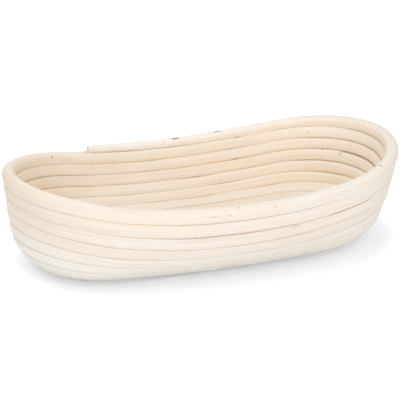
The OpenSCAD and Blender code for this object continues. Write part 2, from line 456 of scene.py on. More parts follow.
def end_rounding(along, rounding):
    """How much thinner the cane is near its sawn ends, where their edges are rounded."""
    near = np.minimum(along, along[-1] - along)
    inward = np.clip(1 - near / rounding, 0.0, 1.0)
    return rounding * (1 - np.sqrt(1 - inward**2))


def keep(mesh, name, values):
    """Keeps a number or a vector for each point of a mesh."""
    kind, field = ("FLOAT_VECTOR", "vector") if np.ndim(values) == 2 else ("FLOAT", "value")
    mesh.attributes.new(name, kind, "POINT").data.foreach_set(field, np.ravel(values).astype(np.float32))


def cane_line(points, ups, radii, along, looks, seed, fields):
    """A mesh of a cane's middle line, with the values that the sweep and the finish read."""
    tangents = unit(np.gradient(points, axis=0))
    outs = unit(np.cross(tangents, ups))
    sway = looks.sway * slow_wave(along, seed)
    radii = radii * (1 + looks.swell * slow_wave(along * SWELL_PACE, seed + SWELL_SEED))
    fields = fields | {
        "cane_radius": radii - end_rounding(along, looks.cut_round),
        "cane_along": along,
        "wall_up": np.cross(outs, tangents),
        "wall_out": outs,
    }
    mesh = bpy.data.meshes.new("cane_line")
    swayed = points + outs * sway[:, None]
    mesh.from_pydata(swayed.tolist(), [(i, i + 1) for i in range(len(points) - 1)], [])
    for name, values in fields.items():
        keep(mesh, name, values)
    return mesh


def away_from(along, spots):
    """How far each point is, along the cane, from the nearest of some spots."""
    return np.abs(along[:, None] - spots[None, :]).min(axis=1, initial=FAR_AWAY)


def seam_depth(t, stretches):
    """How dark the painted gap shadow in the seam under a turn is at turns t, below 0 where it is on the
    inside.
    """
    depth = np.zeros_like(t)
    for start, end, dark, side in stretches:
        depth += side * dark * way(np.minimum(t - start, end - t), 0.0, SEAM_FADE)
    return depth


def dent_depth(along, dents):
    """How deep the cane is dented at each point, from the spots and depths of its dents."""
    depth = np.zeros_like(along)
    for spot, deepest in dents:
        risen = eased(way(np.abs(along - spot), *DENT_RISE))
        depth = np.maximum(depth, deepest * (1 - risen))
    return depth


def wound_line(winding, t0, t1, looks, seed, crowns=(), shown=(), stretches=()):
    """The middle line of a cane wound from turn t0 to t1, with its rim crowns and painted gap shadows in its
    seams.
    """
    size = winding.size
    fine, run = winding.measured(t0, t1)
    along = ring_lengths(run[-1], looks)
    t = np.interp(along, run, fine)
    points, ups = winding.place(t)
    pared = winding.pared(t)
    stretch = 1 + size.back_rise / winding.wall_run * winding.raised(t)
    q = winding.quarters(t)
    at_ends = winding.at_ends(q)
    at_left = at_ends * np.clip(0.5 - LEFT_SLOPE * np.cos(math.pi / 2 * q), 0.0, 1.0)
    lower = way(t, *LOWER_TURNS)
    rounded = np.maximum(at_ends, way(t, *BASE_TURNS))
    outer_seam = OUTER_SEAM + LEFT_SEAM * at_left + UPPER_SEAM * way(t, *UPPER_TURNS) + LOWER_SEAM * lower
    rim_turn = size.turns - 1
    fields = {
        "crown_away": away_from(along, np.interp(crowns, fine, run)),
        "dent": dent_depth(along, [(np.interp(turn, fine, run), depth) for turn, depth in shown]),
        "free_top": way(t, rim_turn, rim_turn + FREE_TURNS),
        "outer_fall": mixed(rounded, looks.outer_crown, looks.end_crown),
        "outer_seam": outer_seam,
        "peeled": (1 - pared) / (1 - size.tip_d / size.cane_d),
        # painted shade at the left end, high up the wall
        "warmer": at_left * way(t, *WARM_TURNS),
        "lower": lower,
        "seam_below": seam_depth(t, stretches),
        "seam_above": seam_depth(t + 1, stretches),
    }
    return cane_line(points, ups, winding.filled_r(looks) * pared * stretch, along, looks, seed, fields)


def straight_line(start, end, radius, looks, seed):
    """The middle line of a straight cane."""
    total = np.linalg.norm(end - start)
    along = ring_lengths(total, looks)
    points = start + (end - start) * (along / total)[:, None]
    ups = np.tile((0.0, -1.0, 0.0), (len(along), 1))
    fields = dict.fromkeys(("dent", "free_top", "peeled", "warmer", "seam_below", "seam_above"), 0.0)
    fields |= {"crown_away": FAR_AWAY, "lower": 1.0, "outer_fall": looks.end_crown, "outer_seam": CORE_SEAM}
    fields = {name: np.full(len(along), value) for name, value in fields.items()}
    return cane_line(points, ups, np.full(len(along), radius), along, looks, seed, fields)


def placed_marks(winding, start, marks):
    """Marks with their places on a cane wound from a starting turn, in the cane's own coordinates."""
    fine, run = winding.measured(start, winding.size.turns)
    found = []
    for turn, height, side, *rest in marks:
        radius = winding.pitch / 2 * winding.pared(turn)
        found.append((np.interp(turn, fine, run), height * radius, side * radius, *rest))
    return found


# Turns each way over which the direction of the cane is read at the splice and at a staple
SPLICE_STEP = 0.001
STAPLE_STEP = 0.002


def splice_half(winding):
    """Turns from the middle of the splice to each of the two sawn ends in it."""
    size = winding.size
    ends = winding.place(np.array([size.splice_turn - SPLICE_STEP, size.splice_turn + SPLICE_STEP]))[0]
    return size.splice_gap * SPLICE_STEP / np.linalg.norm(ends[1] - ends[0])


def staple_turns(winding, staples, turn):
    """Turns at which a turn of cane is stapled to the one below it, or to the core."""
    size = winding.size
    rim = turn == size.turns
    number = staples.rim_staples if rim else staples.turn_staples
    shift = staples.rim_shift if rim else staples.turn_shift + staples.turn_stagger * (turn % 2)
    found = []
    for i in range(number):
        t = turn - 1 + (i + shift) / number
        beside_core = abs(quarter(winding.quarters(t)) % 2 - 1) < staples.core_side
        over_cane = t > 1 + size.climb_quarters / QUARTERS
        if over_cane or (size.start_turn < t < 1 and beside_core):
            found.append(t)
    return found


# Node trees

SHADER = "ShaderNodeTree"
GEOMETRY = "GeometryNodeTree"
VECTOR = "FLOAT_VECTOR"

# Sockets of a Mix node for colours, by number because their names come again for other kinds
MIX_FIRST = 6
MIX_SECOND = 7
MIX_RESULT = 2

# Sockets for a number, by the kind of its default
NUMBER_SOCKETS = {int: "NodeSocketInt", float: "NodeSocketFloat"}


def step_from(operation):
    """A method that adds a step of arithmetic with the value as its first term."""

    def method(value, other=0.0):
        return value.bench.math(operation, value, other)

    return method


def step_to(operation):
    """A method that adds a step of arithmetic with the value as its second term."""

    def method(value, other):
        return value.bench.math(operation, other, value)

    return method


class Value:
    """An output socket that takes plain arithmetic: each step adds a node to its tree."""

    def __init__(self, bench, socket):
        self.bench = bench
        self.socket = socket

    __add__ = __radd__ = step_from("ADD")
    __sub__ = step_from("SUBTRACT")
    __rsub__ = step_to("SUBTRACT")
    __mul__ = __rmul__ = step_from("MULTIPLY")
    __truediv__ = step_from("DIVIDE")
    __rtruediv__ = step_to("DIVIDE")
    __pow__ = step_from("POWER")
    __abs__ = step_from("ABSOLUTE")
    __gt__ = step_from("GREATER_THAN")
    __lt__ = step_from("LESS_THAN")


def is_vector(term):
    """Whether a term of arithmetic is a vector."""
    return isinstance(term, tuple) or (isinstance(term, Value) and term.socket.type == "VECTOR")


class Bench:
    """Adds nodes to one tree and joins their sockets."""

    def __init__(self, tree):
        self.tree = tree

    def node(self, kind, inputs=None, **settings):
        """A node with its settings, and with values given to its inputs by name or number."""
        node = self.tree.nodes.new(kind)
        for name, value in settings.items():
            setattr(node, name, value)
        for key, value in (inputs or {}).items():
            self.give(node.inputs[key], value)
        return node

    def add(self, kind, inputs=None, output=0, **settings):
        """A new node's output, by name or number."""
        return Value(self, self.node(kind, inputs, **settings).outputs[output])

    def outputs(self, node):
        """All outputs of a node, by name."""
        return {socket.name: Value(self, socket) for socket in node.outputs}

    def give(self, socket, value):
        """Joins a value to an input, or sets what the input holds by itself."""
        if isinstance(value, Value):
            self.tree.links.new(value.socket, socket)
        elif socket.type == "VECTOR" and isinstance(value, (int, float)):
            socket.default_value = (value, value, value)
        else:
            socket.default_value = value

    def math(self, operation, *terms):
        """One step of arithmetic, on vectors where a term is one."""
        kind = "ShaderNodeVectorMath" if any(map(is_vector, terms)) else "ShaderNodeMath"
        return self.add(kind, dict(enumerate(terms)), operation=operation)

    def larger(self, a, b):
        """The larger of two numbers."""
        return self.math("MAXIMUM", a, b)

    def held(self, value):
        """A number held between 0 and 1."""
        return self.add("ShaderNodeClamp", {"Value": value})

    def dot(self, a, b):
        """The dot product of two vectors."""
        return self.add("ShaderNodeVectorMath", {0: a, 1: b}, "Value", operation="DOT_PRODUCT")

    def size(self, vector):
        """The length of a vector."""
        return self.add("ShaderNodeVectorMath", {0: vector}, "Value", operation="LENGTH")

    def xyz(self, x, y, z):
        """A vector from three numbers."""
        return self.add("ShaderNodeCombineXYZ", {"X": x, "Y": y, "Z": z})

    def parts(self, vector):
        """The three numbers of a vector."""
        return self.outputs(self.node("ShaderNodeSeparateXYZ", {"Vector": vector})).values()

    def ramp(self, value, low, high, to_low=0.0, to_high=1.0):
        """A smooth step of a value from one range to another."""
        ranges = {"From Min": low, "From Max": high, "To Min": to_low, "To Max": to_high}
        return self.add("ShaderNodeMapRange", {"Value": value, **ranges}, interpolation_type="SMOOTHSTEP")

    def noise(self, vector, detail=2.0, roughness=0.5):
        """Noise over a vector, from 0 to 1."""
        inputs = {"Vector": vector, "Scale": 1.0, "Detail": detail, "Roughness": roughness}
        return self.add("ShaderNodeTexNoise", inputs, "Fac", noise_dimensions="3D")

    def cells(self, vector):
        """Distance to the nearest of many scattered points, and a number of that point's own."""
        node = self.node("ShaderNodeTexVoronoi", {"Vector": vector, "Scale": 1.0}, feature="F1")
        found = self.outputs(node)
        pick, _, _ = self.parts(found["Color"])
        return found["Distance"], pick

    def blend(self, factor, a, b):
        """A mix of two colours."""
        inputs = {"Factor": factor, MIX_FIRST: a, MIX_SECOND: b}
        return self.add("ShaderNodeMix", inputs, MIX_RESULT, data_type="RGBA")

    def bump(self, height, strength, distance):
        """Normals of a surface that is raised by a height."""
        return self.add("ShaderNodeBump", {"Strength": strength, "Distance": distance, "Height": height})

    def kept(self, name, output="Fac"):
        """A value that is kept on the mesh, for a material."""
        return self.add("ShaderNodeAttribute", None, output, attribute_name=name, attribute_type="GEOMETRY")

    def field(self, name, kind="FLOAT"):
        """A value that is kept on the geometry, for geometry nodes."""
        return self.add("GeometryNodeInputNamedAttribute", {"Name": name}, data_type=kind)

    def position(self):
        """Where each point of the geometry is."""
        return self.add("GeometryNodeInputPosition")

    def stored(self, geometry, name, value, kind="FLOAT", domain="POINT"):
        """The geometry with a value kept on it under a name."""
        inputs = {"Geometry": geometry, "Name": name, "Value": value}
        return self.add("GeometryNodeStoreNamedAttribute", inputs, data_type=kind, domain=domain)

    def moved(self, geometry, socket, to):
        """The geometry with its points set to a position, or moved by an offset."""
        return self.add("GeometryNodeSetPosition", {"Geometry": geometry, socket: to})

    def swept(self, line, normal, profile, **inputs):
        """A mesh with filled ends, swept along a line with a profile that keeps to a normal."""
        line = self.add("GeometryNodeSetCurveNormal", {"Curve": line, "Normal": normal}, mode="FREE")
        inputs = {"Curve": line, "Profile Curve": profile, "Fill Caps": True, **inputs}
        return self.add("GeometryNodeCurveToMesh", inputs)

    def rounded(self, curve, points, radius):
        """A curve with its corners rounded."""
        inputs = {"Curve": curve, "Count": points, "Radius": radius}
        return self.add("GeometryNodeFilletCurve", inputs, mode="POLY")

    def dressed(self, geometry, finish):
        """The geometry in its material."""
        return self.add("GeometryNodeSetMaterial", {"Geometry": geometry, "Material": finish})

    def finished(self, geometry, finish, spares):
        """The geometry as one real mesh in its material, without the values that are no longer read."""
        for name in spares:
            geometry = self.add("GeometryNodeRemoveAttribute", {"Geometry": geometry, "Name": name})
        return self.dressed(self.add("GeometryNodeRealizeInstances", {"Geometry": geometry}), finish)


def label(name):
    """The name of a group's socket, from the name of an argument."""
    return name.replace("_", " ").title()


def new_group(name, kind, build):
    """A node group that a function builds, with the function's arguments as its named inputs."""
    tree = bpy.data.node_groups.new(name, kind)
    if kind == GEOMETRY:
        tree.is_modifier = True
    inputs = {key: argument.default for key, argument in inspect.signature(build).parameters.items()}
    del inputs["bench"]
    for key, default in inputs.items():
        socket = NUMBER_SOCKETS.get(type(default)) or f"NodeSocket{default}"
        made = tree.interface.new_socket(label(key), in_out="INPUT", socket_type=socket)
        if type(default) in NUMBER_SOCKETS:
            made.default_value = default
    bench = Bench(tree)
    given = bench.outputs(bench.node("NodeGroupInput"))
    results = build(bench, **{key: given[label(key)] for key in inputs})
    for key in results:
        socket = "NodeSocketGeometry" if kind == GEOMETRY else "NodeSocketFloat"
        tree.interface.new_socket(key, in_out="OUTPUT", socket_type=socket)
    bench.node("NodeGroupOutput", results)
    return tree


def node_group(name, kind):
    """Turns a function that builds a node group into one that gives the group, built once and used again.

    The function's arguments after the bench are the group's inputs, with a number as the default or
    the kind of socket. It gives back the group's outputs by name.
    """

    def wrap(build):
        def group():
            return bpy.data.node_groups.get(name) or new_group(name, kind, build)

        return group

    return wrap


# The shapes

# Closeness of the dips in the cane's surface, along it and across it
DIP_SCALE = (60.0, 260.0, 260.0)

# Distances across the cane from a crown at which its dent begins to rise, and ends
DENT_ACROSS = (0.0003, 0.0022)

# Least distance of the cane's surface from its middle line, which is divided by
LEAST_R = 1e-6

# Corners of a face along the cane, of which a sawn end has more
FACE_CORNERS = 4

# Points in the bend of a staple and on an edge of its wire, and the edge's rounding in thicknesses
BEND_POINTS = 4
EDGE_POINTS = 2
EDGE_ROUND = 0.35

# The middle between the corners of a staple, which are numbered 0 to 3 from foot to foot
MIDDLE_CORNER = 1.5


@node_group("Cane Sweep", GEOMETRY)
def cane_sweep(
    bench,
    line="Geometry",
    sides=24,
    inner_crown=0.3,
    crown_power=2.0,
    inner_crowding=1.0,
    outer_crowding=1.0,
    unevenness=0.0,
    crown_inset=0.0,
    floor_level=0.0,
    cane_finish="Material",
):
    """A round cane along its middle line, pressed squarer where turns meet and flat on the floor."""
    wall_up = bench.field("wall_up", VECTOR)
    wall_out = bench.field("wall_out", VECTOR)
    curve = bench.add("GeometryNodeMeshToCurve", {"Mesh": line})
    curve = bench.stored(curve, "cane_middle", bench.position(), VECTOR)
    ring = bench.add("GeometryNodeCurvePrimitiveCircle", {"Resolution": sides, "Radius": 1.0})
    mesh = bench.swept(curve, wall_up, ring, Scale=bench.field("cane_radius"))
    middle = bench.field("cane_middle", VECTOR)
    arm = bench.position() - middle
    up = bench.dot(arm, wall_up)
    out = bench.dot(arm, wall_out)
    radius = bench.larger(bench.size(arm), LEAST_R)
    longer = radius / bench.larger(abs(up), abs(out))
    faces_out = out > 0.0
    from_seam = bench.held(1.0 - abs(up) * longer / radius)
    to_seam = 1.0 - from_seam ** mixed(faces_out, inner_crowding, outer_crowding)
    square_up = bench.math("SIGN", up) * radius * to_seam
    fall = mixed(faces_out, inner_crown, bench.field("outer_fall"))
    square_out = out * longer * (1.0 - fall * to_seam**crown_power)
    free = bench.field("free_top") * (up > 0.0)
    up = mixed(free, square_up, up)
    out = mixed(free, square_out, out)
    mesh = bench.stored(mesh, "cane_co", bench.xyz(bench.field("cane_along"), up, out), VECTOR)
    mesh = bench.moved(mesh, "Position", middle + (wall_up * up + wall_out * out))
    is_cut = bench.add("GeometryNodeInputMeshFaceNeighbors") > FACE_CORNERS
    mesh = bench.stored(mesh, "cane_cut", is_cut, domain="FACE")
    own = bench.field("cane_co", VECTOR)
    _, up, out = bench.parts(own)
    dips = (bench.noise(own * DIP_SCALE) - 0.5) * unevenness
    across = bench.ramp(abs(out + crown_inset), *DENT_ACROSS, 1.0, 0.0)
    dents = bench.field("dent") * across * (up > 0.0)
    mesh = bench.moved(mesh, "Offset", bench.add("GeometryNodeInputNormal") * (dips - dents))
    x, y, z = bench.parts(bench.position())
    mesh = bench.moved(mesh, "Position", bench.xyz(x, y, bench.larger(z, floor_level)))
    smooth = {"Geometry": mesh, "Shade Smooth": 1.0 - bench.field("cane_cut")}
    mesh = bench.add("GeometryNodeSetShadeSmooth", smooth, domain="FACE")
    spares = ("cane_middle", "cane_along", "wall_up", "wall_out", "dent", "outer_fall")
    return {"Cane": bench.finished(mesh, cane_finish, spares)}


@node_group("Staple Row", GEOMETRY)
def staple_row(
    bench,
    places="Geometry",
    crown=0.007,
    leg=0.015,
    wire_width=0.0012,
    wire_thickness=0.0006,
    shoulder=0.0007,
    crown_height=0.005,
    wire_finish="Material",
):
    """A staple bent from flat wire, set at each place of a turn."""
    half_wire = wire_thickness * 0.5
    half_crown = crown * 0.5 - half_wire
    corner = bench.add("GeometryNodeInputIndex")
    side = (corner > MIDDLE_CORNER) * 2.0 - 1.0
    at_crown = abs(corner - MIDDLE_CORNER) < 1.0
    height = mixed(at_crown, crown_height - leg, crown_height - half_wire)
    line = bench.add("GeometryNodeMeshLine", {"Count": 4})
    line = bench.moved(line, "Position", bench.xyz(side * half_crown, 0.0, height))
    wire = bench.rounded(bench.add("GeometryNodeMeshToCurve", {"Mesh": line}), BEND_POINTS, shoulder)
    sizes = {"Width": wire_width, "Height": wire_thickness}
    flat = bench.add("GeometryNodeCurvePrimitiveQuadrilateral", sizes, mode="RECTANGLE")
    flat = bench.rounded(flat, EDGE_POINTS, wire_thickness * EDGE_ROUND)
    staple = bench.swept(wire, (0.0, 1.0, 0.0), flat)
    staple = bench.dressed(bench.stored(staple, "wire_co", bench.position(), VECTOR), wire_finish)
    crown_up = bench.field("crown_up", VECTOR)
    axes = {"Primary Axis": crown_up, "Secondary Axis": bench.field("crown_along", VECTOR)}
    turn = bench.add("FunctionNodeAxesToRotation", axes, primary_axis="Z", secondary_axis="X")
    row = bench.add("GeometryNodeInstanceOnPoints", {"Points": places, "Instance": staple, "Rotation": turn})
    return {"Staples": bench.finished(row, wire_finish, ("crown_up", "crown_along"))}


def made_by_nodes(name, mesh, tree, **values):
    """A plain mesh object that a node tree makes from a starting mesh, with the tree's inputs by name."""
    source = bpy.data.objects.new(f"{name}_source", mesh)
    bpy.context.scene.collection.objects.link(source)
    modifier = source.modifiers.new("nodes", "NODES")
    modifier.node_group = tree
    identifiers = {socket.name: socket.identifier for socket in tree.interface.items_tree}
    for key, value in values.items():
        modifier[identifiers[label(key)]] = value
    graph = bpy.context.evaluated_depsgraph_get()
    graph.update()
    evaluated = source.evaluated_get(graph)
    made = bpy.data.meshes.new_from_object(evaluated, preserve_all_data_layers=True, depsgraph=graph)
    source.modifiers.remove(modifier)
    bpy.data.objects.remove(source)
    bpy.data.meshes.remove(mesh)
    if not made.polygons:
        raise RuntimeError(f"{name}: its node tree made no faces")
    made.name = name
    piece = bpy.data.objects.new(name, made)
    bpy.context.scene.collection.objects.link(piece)
    return piece


def stand_for(piece, slot, *nodes):
    """Ties a finished piece to its body and hides the nodes that it stands for; its slot is not used."""
    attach(piece, BODY)
    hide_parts(*nodes)


# Shader groups

# Detail of the finer noises, and the roughness of that in a streak
FINE_DETAIL = 3.0
FINE_ROUGHNESS = 0.6

# Closeness of the broad part of a streak beside its fine part, along the cane and across it
BROAD_SCALE = (0.45, 0.28, 0.28)

# Closeness of the slow and the quick changes of tone, and of the waver of a node
SLOW_SCALE = (9.0, 60.0, 60.0)
QUICK_SCALE = (60.0, 190.0, 190.0)
WAVER_SCALE = 90.0
TONE_RANGE = (0.3, 0.7)

# Where the outside of a seam begins, from the middle of the wall
SEAM_OUTSIDE = (-0.001, 0.001)

# Changes of a seam's line along the cane: their closeness, the step from seam to seam, the range
LINE_SCALE = 14.0
LINE_STEP = 3.0
LINE_RANGE = (0.36, 0.70, 0.25, 1.0)


@node_group("Cane Fibres", SHADER)
def cane_fibres(
    bench, cane="Vector", fibre_width=0.0005, fibre_length=0.04, broad=0.4, faint=0.46, full=0.74, seed=0.0
):
    """Long fibres along the cane, as a mask and a height."""
    stretched = cane / bench.xyz(fibre_length, fibre_width, fibre_width) + bench.xyz(seed, seed, 0.0)
    fine = bench.noise(stretched, FINE_DETAIL, FINE_ROUGHNESS)
    both = mixed(broad, fine, bench.noise(stretched * BROAD_SCALE))
    return {"Streak": bench.ramp(both, faint, full), "Height": fine}


@node_group("Cane Pores", SHADER)
def cane_pores(
    bench,
    cane="Vector",
    pore_length=0.006,
    pore_spacing=0.0011,
    pore_width=0.22,
    dark=0.4,
    cover=0.5,
    seed=0.0,
):
    """Short dark pores along the fibres, each at its own place, and only some of them there."""
    stretched = cane / bench.xyz(pore_length, pore_spacing, pore_spacing) + bench.xyz(seed, 0.0, seed)
    away, pick = bench.cells(stretched)
    return {"Pore": bench.ramp(away, pore_width * dark, pore_width, 1.0, 0.0) * (pick < cover)}


@node_group("Cane Seams", SHADER)
def cane_seams(
    bench,
    cane="Vector",
    radius=0.0047,
    inner_spread=0.42,
    outer_spread=0.25,
    rim_spread=0.5,
    line_spread=0.08,
    inner_line=1.7,
    inner_stretch=3.6,
    outer_stretch=2.2,
    outer_share=0.3,
    upper_share=0.3,
    free_top=0.0,
    dark_above=0.0,
    dark_below=0.0,
    seed=0.0,
):
    """The seams above and below a turn: painted warm shade towards each seam, weaker above it and on
    the outside, and a thin dark line that is partly the joint's own colour and partly painted crevice
    shade, with painted shadows of open gaps in some stretches.
    """
    x, y, z = bench.parts(cane)
    rim = abs(y) / radius
    above = y > 0.0
    outer = bench.ramp(z, *SEAM_OUTSIDE)
    closed = 1.0 - above * free_top
    side = mixed(outer, 1.0, outer_share)
    spread = mixed(outer, inner_spread, outer_spread) * mixed(free_top, 1.0, rim_spread)
    soft = bench.ramp(rim, 1.0 - spread, 1.0) * closed * side * mixed(above, 1.0, upper_share)
    line = bench.ramp(rim, 1.0 - line_spread * mixed(outer, inner_line, 1.0), 1.0)
    where = bench.xyz(x * LINE_SCALE, bench.math("SIGN", y) * LINE_STEP + seed, 0.0)
    line = line * closed * bench.ramp(bench.noise(where), *LINE_RANGE) * side
    stretch = bench.ramp(rim, 1.0 - line_spread * mixed(outer, inner_stretch, outer_stretch), 1.0)
    depth = mixed(above, dark_below, dark_above) * mixed(outer, -1.0, 1.0)
    stretch = stretch * closed * bench.larger(depth, 0.0)
    return {"Seam": soft, "Stain": bench.larger(line, stretch)}


@node_group("Cane Mark", SHADER)
def cane_mark(
    bench, cane="Vector", spot="Vector", mark_length=0.001, mark_width=0.0006, mark_depth=0.004, dark=0.3
):
    """One small dark mark at a spot on the cane."""
    away = bench.size((cane - spot) / bench.xyz(mark_length, mark_width, mark_depth))
    return {"Mark": bench.ramp(away, dark, 1.0, 1.0, 0.0)}


@node_group("Cane Mottle", SHADER)
def cane_mottle(
    bench, cane="Vector", quick=0.35, node_spacing=0.31, node_width=0.004, node_waver=0.008, seed=0.0
):
    """Slow changes of tone along the cane, and the faint rings where it had its nodes."""
    shifted = cane + bench.xyz(seed, 0.0, 0.0)
    slow_tone = bench.noise(shifted * SLOW_SCALE)
    quick_tone = bench.noise(shifted * QUICK_SCALE, FINE_DETAIL)
    waver = bench.noise(shifted * WAVER_SCALE, 1.0) * node_waver
    x, _, _ = bench.parts(shifted)
    past = bench.math("PINGPONG", x + waver, node_spacing * 0.5)
    return {
        "Tone": bench.ramp(mixed(quick, slow_tone, quick_tone), *TONE_RANGE),
        "Node": bench.ramp(past, 0.0, node_width, 1.0, 0.0),
    }


@node_group("Cane Cut", SHADER)
def cane_cut(bench, cane="Vector", pore_spacing=0.0006, dark=0.12, clear=0.34, tone_scale=900.0):
    """Sawn end of a cane: open pores and an uneven tone across its face."""
    _, up, out = bench.parts(cane)
    face = bench.xyz(0.0, up, out)
    away, _ = bench.cells(face / pore_spacing)
    return {
        "Pore": bench.ramp(away, dark, clear, 1.0, 0.0),
        "Tone": bench.noise(face * tone_scale, FINE_DETAIL),
    }


# Finishes

# Kinds of streaks on the cane: width, length and step of the seed
STREAKS = {
    "warm bands": (0.0024, 0.17, 3.3),
    "pale bands": (0.0031, 0.12, 6.0),
    "fibres": (0.0010, 0.07, 0.0),
    "hairs": (0.00018, 0.03, 4.0),
}

# Share of the pores that are there, and how the rarer, longer flecks differ from pores
PORE_COVER = 0.14
FLECKS = {"pore_length": 0.011, "pore_spacing": 0.0046, "pore_width": 0.11, "cover": 0.03}
FLECK_SEED = 9.0

# Layers over the cane's own tone from the lowest up: name, colour, and how much of it shows
LAYERS = (
    # painted shade: the whole outside a little darker and greyer
    ("outside", "pore", 0.06),
    # painted light: the lower outside paler, as if lit from below
    ("low outside", "cream", 0.75),
    ("rim", "cream", 0.25),
    ("warm bands", "peach", 0.92),
    ("pale bands", "cream", 0.70),
    ("fibres", "fibre", 0.27),
    ("hairs", "fibre", 0.12),
    ("pared run", "cream", 0.85),
    ("nodes", "fibre", 0.03),
    ("pores", "pore", 0.22),
    ("flecks", "pore", 0.55),
    # painted warm shade towards each seam
    ("seams", "seam", 0.38),
    # thin dark lines at the joints, partly their own colour and partly painted crevice shade, and painted
    # shadows of open gaps
    ("seam lines and gap shadows", "pore", 0.84),
    ("scars", "fibre", 0.18),
)

# Where the outside and the inside of the cane begin, from the middle of the wall
OUTSIDE = (-0.001, 0.003)
INSIDE = (-0.003, 0.003)

# How far the scar over a sunk crown reaches across the cane, and along it
SCAR_ACROSS = (0.0002, 0.0009)
SCAR_ALONG = (0.0025, 0.0045)

# Shares of the warm tone: from the mottle, then painted warm shade on the inside and painted shade at the
# left end
MOTTLE_WARMTH = 0.54
INSIDE_WARMTH = 0.14
LEFT_WARMTH = 0.55

# What is left of the pared run's pale layer on its outside, and of the seam lines and painted gap shadows on
# the pared run
PARED_OUTSIDE = 0.3
PARED_STAINS = 0.3

# How dark the pores of a sawn end are, and what streaks and sawn ends add to the roughness
SAWN_PORES = 0.5
STREAK_ROUGHNESS = 0.12
SAWN_ROUGHNESS = 0.2

# Heights and depths that make the cane's bump, the bump's strength and its reach
HAIR_HEIGHT = 0.4
FIBRE_HEIGHT = 0.6
PORE_DEPTH = 0.5
SAWN_PORE_DEPTH = 0.8
CANE_BUMP = 0.5
CANE_BUMP_REACH = 0.00012
CANE_IOR = 1.46

# Closeness of the wire's drawn lines and of its tarnish, and where the tarnish begins and is full
DRAWN_SCALE = (300.0, 9000.0, 300.0)
TARNISH_SCALE = 420.0
TARNISH_RANGE = (0.45, 0.72)

# How much of the tarnish shows in patches and in the drawn lines
TARNISH_COVER = 0.75
DRAWN_COVER = 0.25

# Roughness and metal of clean wire and of tarnish, the bump's strength and its reach
WIRE_ROUGHNESS = (0.38, 0.62)
WIRE_METAL = (0.95, 0.55)
WIRE_BUMP = 0.4
WIRE_BUMP_REACH = 0.00005


def rgba(three):
    """A colour with full alpha."""
    return (*three, 1.0)


def placed(bench, group, **values):
    """The outputs of a shader group that is placed in a material with its own values."""
    inputs = {label(key): value for key, value in values.items()}
    return bench.outputs(bench.node("ShaderNodeGroup", inputs, node_tree=group()))


def cleared(owner):
    """A bench on the emptied node tree of a material or a world."""
    owner.use_nodes = True
    owner.node_tree.nodes.clear()
    return Bench(owner.node_tree)


def new_material(name):
    """An empty node material, its bench and the inputs of its Principled shader."""
    material = bpy.data.materials.new(name)
    bench = cleared(material)
    shader = bench.node("ShaderNodeBsdfPrincipled")
    bench.node("ShaderNodeOutputMaterial", {"Surface": Value(bench, shader.outputs["BSDF"])})
    return material, bench, shader.inputs


